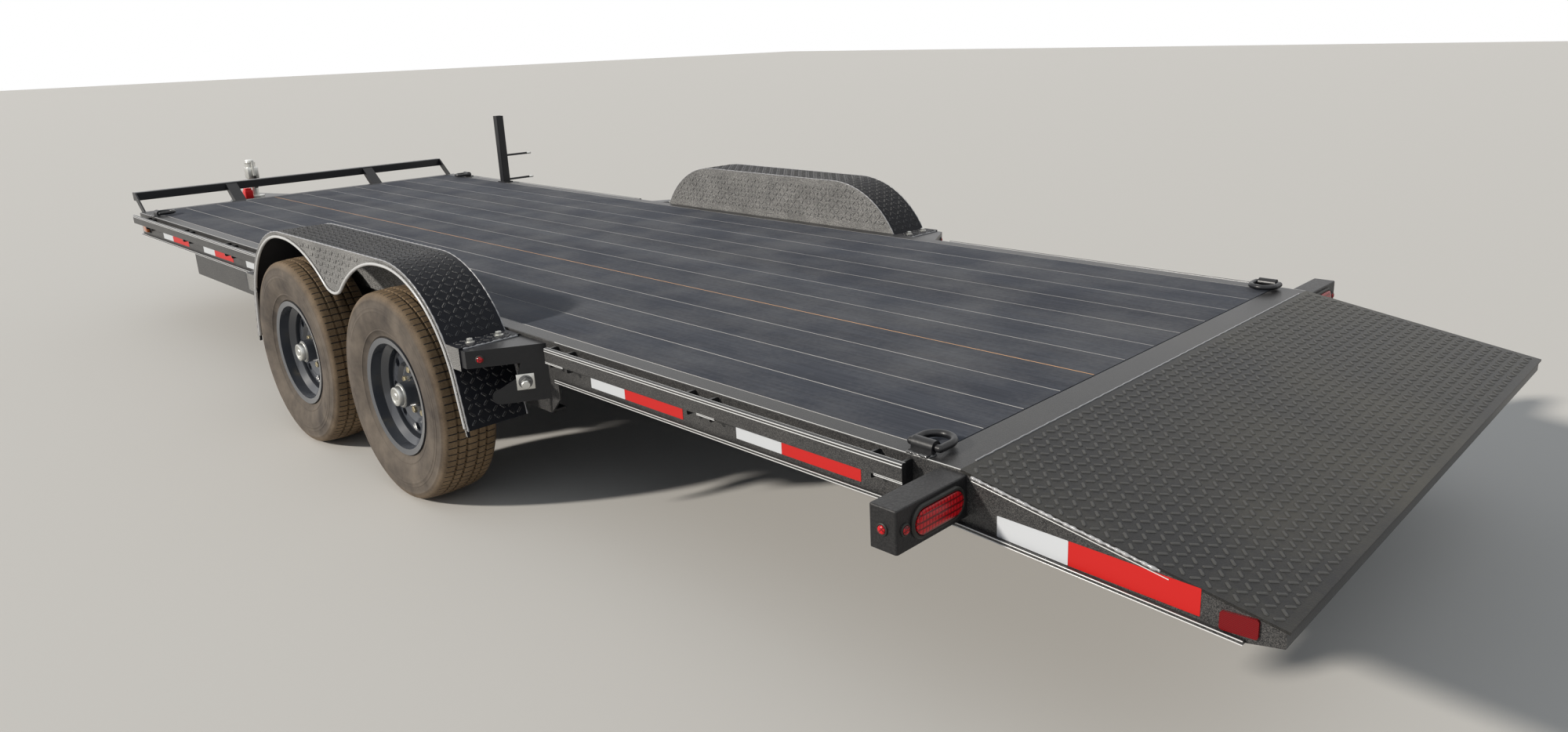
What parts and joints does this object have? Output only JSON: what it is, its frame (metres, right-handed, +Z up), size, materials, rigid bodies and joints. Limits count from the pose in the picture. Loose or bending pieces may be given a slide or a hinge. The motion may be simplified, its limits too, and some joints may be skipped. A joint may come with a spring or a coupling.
{
  "type": "car hauler trailer",
  "caption": "Flat-deck trailer with a wooden plank deck, checker-plate dovetail, stake pockets, fenders over its wheels, D-rings, tail lamps and a tongue jack.",
  "frame": {"origin": "on the ground, under the middle of the trailer's overall length and width", "axes": "+X forward to the coupler, +Y to the left, +Z up"},
  "size_m": [8.5334, 2.544, 1.115],
  "materials": {
    "black_paint": "gloss",
    "box_black": "satin",
    "plank_wood": "matte",
    "raw_steel": "satin",
    "red_lens": "gloss",
    "rim_black": "gloss",
    "tyre_rubber": "matte",
    "zinc": "satin"
  },
  "bodies": {
    "frame": {"coupler": "black_paint", "crossmembers": "black_paint", "deck_planks": "plank_wood", "dovetail_frame": "black_paint", "dovetail_plate": "black_paint", "front_axle": "black_paint", "front_channel": "black_paint", "front_rail": "black_paint", "jack_tube": "zinc", "left_equalizer": "raw_steel", "left_fender": "black_paint", "left_fender_brackets": "black_paint", "left_light_box": "box_black", "left_main_beam": "black_paint", "left_rub_rail": "black_paint", "left_side_rail": "black_paint", "left_spring_hangers": "black_paint", "left_springs": "raw_steel", "left_tail_lamps": "red_lens", "left_tongue_beam": "black_paint", "rear_axle": "black_paint", "right_equalizer": "raw_steel", "right_fender": "black_paint", "right_fender_brackets": "black_paint", "right_light_box": "box_black", "right_main_beam": "black_paint", "right_rub_rail": "black_paint", "right_side_rail": "black_paint", "right_spring_hangers": "black_paint", "right_springs": "raw_steel", "right_tail_lamps": "red_lens", "right_tongue_beam": "black_paint", "ring_straps": "black_paint", "spare_post": "black_paint", "tongue_plate": "black_paint"},
    "left_front_wheel": {"left_front_tyre": "tyre_rubber", "left_front_rim": "rim_black", "left_front_hub": "black_paint"},
    "left_rear_wheel": {"left_rear_tyre": "tyre_rubber", "left_rear_rim": "rim_black", "left_rear_hub": "black_paint"},
    "right_front_wheel": {"right_front_tyre": "tyre_rubber", "right_front_rim": "rim_black", "right_front_hub": "black_paint"},
    "right_rear_wheel": {"right_rear_tyre": "tyre_rubber", "right_rear_rim": "rim_black", "right_rear_hub": "black_paint"},
    "left_front_d_ring": {"left_front_ring": "black_paint"},
    "left_rear_d_ring": {"left_rear_ring": "black_paint"},
    "right_front_d_ring": {"right_front_ring": "black_paint"},
    "right_rear_d_ring": {"right_rear_ring": "black_paint"},
    "jack_leg": {"jack_leg": "zinc"}
  },
  "joints": [
    {"name": "left_front_wheel_spin", "type": "hinge", "parent": "frame", "child": "left_front_wheel", "pos_m": [-0.295, 1.166, 0.388], "axis": [0, 1, 0], "continuous": true},
    {"name": "left_rear_wheel_spin", "type": "hinge", "parent": "frame", "child": "left_rear_wheel", "pos_m": [-1.184, 1.166, 0.388], "axis": [0, 1, 0], "continuous": true},
    {"name": "right_front_wheel_spin", "type": "hinge", "parent": "frame", "child": "right_front_wheel", "pos_m": [-0.295, -1.166, 0.388], "axis": [0, 1, 0], "continuous": true},
    {"name": "right_rear_wheel_spin", "type": "hinge", "parent": "frame", "child": "right_rear_wheel", "pos_m": [-1.184, -1.166, 0.388], "axis": [0, 1, 0], "continuous": true},
    {"name": "left_front_d_ring_lift", "type": "hinge", "parent": "frame", "child": "left_front_d_ring", "pos_m": [2.4385, 0.984, 0.682], "axis": [-1, 0, 0], "range_deg": [0, 150]},
    {"name": "left_rear_d_ring_lift", "type": "hinge", "parent": "frame", "child": "left_rear_d_ring", "pos_m": [-3.4115, 0.984, 0.682], "axis": [-1, 0, 0], "range_deg": [0, 150]},
    {"name": "right_front_d_ring_lift", "type": "hinge", "parent": "frame", "child": "right_front_d_ring", "pos_m": [2.4385, -0.984, 0.682], "axis": [1, 0, 0], "range_deg": [0, 150]},
    {"name": "right_rear_d_ring_lift", "type": "hinge", "parent": "frame", "child": "right_rear_d_ring", "pos_m": [-3.4115, -0.984, 0.682], "axis": [1, 0, 0], "range_deg": [0, 150]},
    {"name": "jack_slide", "type": "slide", "parent": "frame", "child": "jack_leg", "axis": [0, 0, 1], "range_m": [-0.12, 0.19]}
  ]
}
